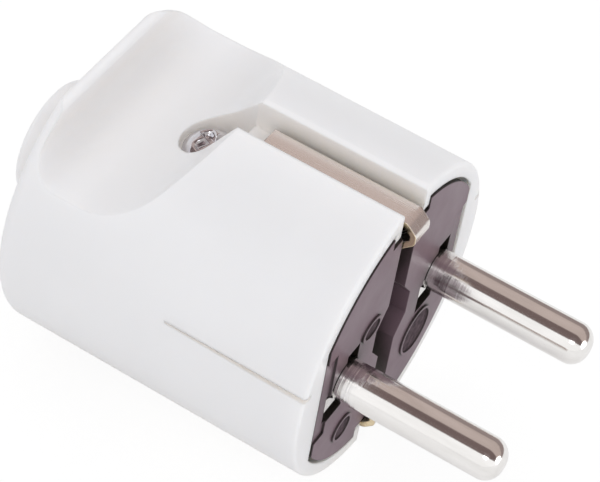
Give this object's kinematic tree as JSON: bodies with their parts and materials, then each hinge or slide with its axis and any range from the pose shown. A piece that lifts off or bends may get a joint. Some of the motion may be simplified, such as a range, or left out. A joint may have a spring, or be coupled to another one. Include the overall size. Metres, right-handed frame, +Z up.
{
  "type": "type f plug",
  "caption": "Rewirable round mains plug with round pins, side earth contacts, finger scoops and a rear cord entry.",
  "frame": {"origin": "midway between the pins on the front face of the contact carrier", "axes": "+X along the pins out of the front face, +Y along the line of the pins, +Z up through the upper earth contact"},
  "size_m": [0.063, 0.0374, 0.037],
  "materials": {
    "housing_white": "satin moulded",
    "carrier_dark": "satin moulded",
    "clamp_plastic": "satin moulded",
    "pin_nickel": "nickel plated",
    "contact_strip": "nickel plated, bare cut edges",
    "screw_steel": "zinc plated"
  },
  "bodies": {
    "root": {"housing": "housing_white", "contact_carrier": "carrier_dark", "live_pin": "pin_nickel", "neutral_pin": "pin_nickel", "earth_bracket": "contact_strip", "housing_screw": "screw_steel", "housing_screw_nut": "screw_steel", "pin_terminal_screws": "screw_steel", "earth_terminal_screw": "screw_steel", "earth_clamp_washer": "screw_steel", "cord_clamp_bar": "clamp_plastic", "cord_clamp_screws": "screw_steel"}
  },
  "joints": []
}
